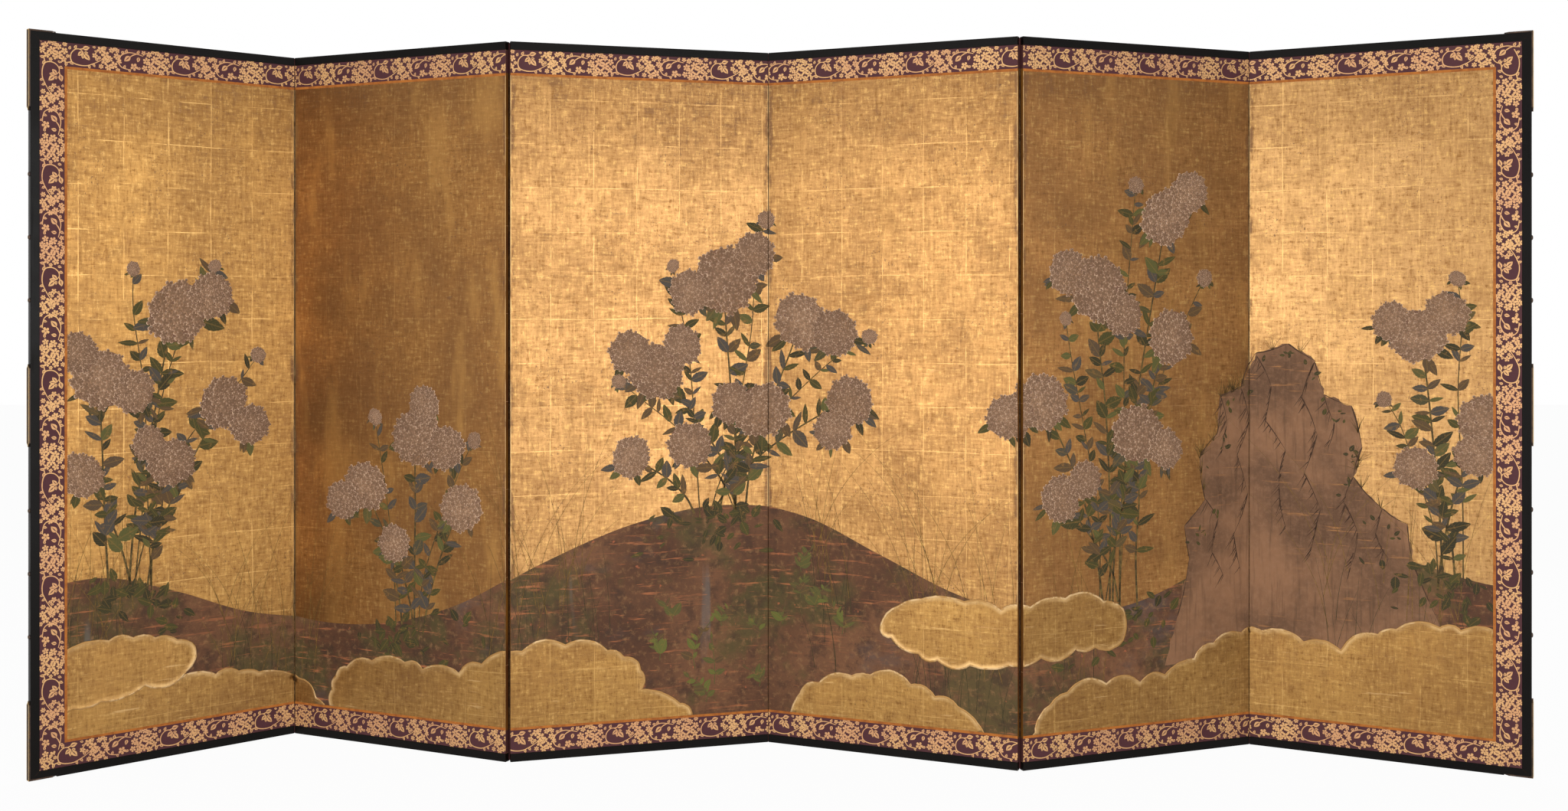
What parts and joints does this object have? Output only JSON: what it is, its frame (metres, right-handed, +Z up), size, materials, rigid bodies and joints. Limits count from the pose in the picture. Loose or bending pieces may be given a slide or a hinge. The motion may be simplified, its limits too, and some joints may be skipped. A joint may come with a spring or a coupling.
{
  "type": "folding screen",
  "caption": "Six-panel folding screen with paper-hinged panels, gold-leaf painted fronts, brocade borders, black lacquered frame and metal corner fittings.",
  "frame": {"origin": "centre of the footprint of the standing screen at its rest angles, on the floor", "axes": "+X along the screen to the viewer's right, -Y the way the painted faces look, +Z up"},
  "size_m": [3.4516, 0.4382, 1.7135],
  "materials": {
    "cedar": "planed softwood",
    "gold_leaf_paper": "worn gold leaf on paper",
    "backing_paper": "matt laid paper",
    "black_lacquer": "glossy black lacquer",
    "brocade": "silk with woven gold scrolls",
    "narrow_cloth": "plain silk",
    "hinge_paper": "dyed mulberry paper",
    "dark_gilt_copper": "darkened, with worn gilding on the rims"
  },
  "bodies": {
    "panel_1": {"lattice_1": "cedar", "painting_1": "gold_leaf_paper", "back_paper_1": "backing_paper", "top_rail_1": "black_lacquer", "bottom_rail_1": "black_lacquer", "brocade_1": "brocade", "narrow_strip_1": "narrow_cloth", "hinge_papers_1": "hinge_paper", "left_stile": "black_lacquer", "top_left_corner_fitting": "dark_gilt_copper", "bottom_left_corner_fitting": "dark_gilt_copper", "left_edge_fitting": "dark_gilt_copper", "left_dome_nails": "dark_gilt_copper"},
    "panel_2": {"lattice_2": "cedar", "painting_2": "gold_leaf_paper", "back_paper_2": "backing_paper", "top_rail_2": "black_lacquer", "bottom_rail_2": "black_lacquer", "brocade_2": "brocade", "narrow_strip_2": "narrow_cloth", "hinge_papers_2": "hinge_paper"},
    "panel_3": {"lattice_3": "cedar", "painting_3": "gold_leaf_paper", "back_paper_3": "backing_paper", "top_rail_3": "black_lacquer", "bottom_rail_3": "black_lacquer", "brocade_3": "brocade", "narrow_strip_3": "narrow_cloth", "hinge_papers_3": "hinge_paper"},
    "panel_4": {"lattice_4": "cedar", "painting_4": "gold_leaf_paper", "back_paper_4": "backing_paper", "top_rail_4": "black_lacquer", "bottom_rail_4": "black_lacquer", "brocade_4": "brocade", "narrow_strip_4": "narrow_cloth", "hinge_papers_4": "hinge_paper"},
    "panel_5": {"lattice_5": "cedar", "painting_5": "gold_leaf_paper", "back_paper_5": "backing_paper", "top_rail_5": "black_lacquer", "bottom_rail_5": "black_lacquer", "brocade_5": "brocade", "narrow_strip_5": "narrow_cloth", "hinge_papers_5": "hinge_paper"},
    "panel_6": {"lattice_6": "cedar", "painting_6": "gold_leaf_paper", "back_paper_6": "backing_paper", "top_rail_6": "black_lacquer", "bottom_rail_6": "black_lacquer", "brocade_6": "brocade", "narrow_strip_6": "narrow_cloth", "hinge_papers_6": "hinge_paper", "right_stile": "black_lacquer", "top_right_corner_fitting": "dark_gilt_copper", "bottom_right_corner_fitting": "dark_gilt_copper", "right_edge_fitting": "dark_gilt_copper", "right_dome_nails": "dark_gilt_copper"}
  },
  "joints": [
    {"name": "fold_1", "type": "hinge", "parent": "panel_2", "child": "panel_1", "pos_m": [-1.23625, 0.20357, 0], "axis": [0, 0, 1], "range_deg": [-66, 114]},
    {"name": "fold_2", "type": "hinge", "parent": "panel_3", "child": "panel_2", "pos_m": [-0.65062, -0.04408, 0], "axis": [0, 0, -1], "range_deg": [-41, 139]},
    {"name": "fold_3", "type": "hinge", "parent": "panel_3", "child": "panel_4", "pos_m": [-0.03622, 0.11966, 0], "axis": [0, 0, -1], "range_deg": [-40, 140]},
    {"name": "fold_4", "type": "hinge", "parent": "panel_4", "child": "panel_5", "pos_m": [0.55364, -0.11774, 0], "axis": [0, 0, 1], "range_deg": [-45, 135]},
    {"name": "fold_5", "type": "hinge", "parent": "panel_5", "child": "panel_6", "pos_m": [1.15142, 0.09893, 0], "axis": [0, 0, -1], "range_deg": [-49, 131]}
  ]
}
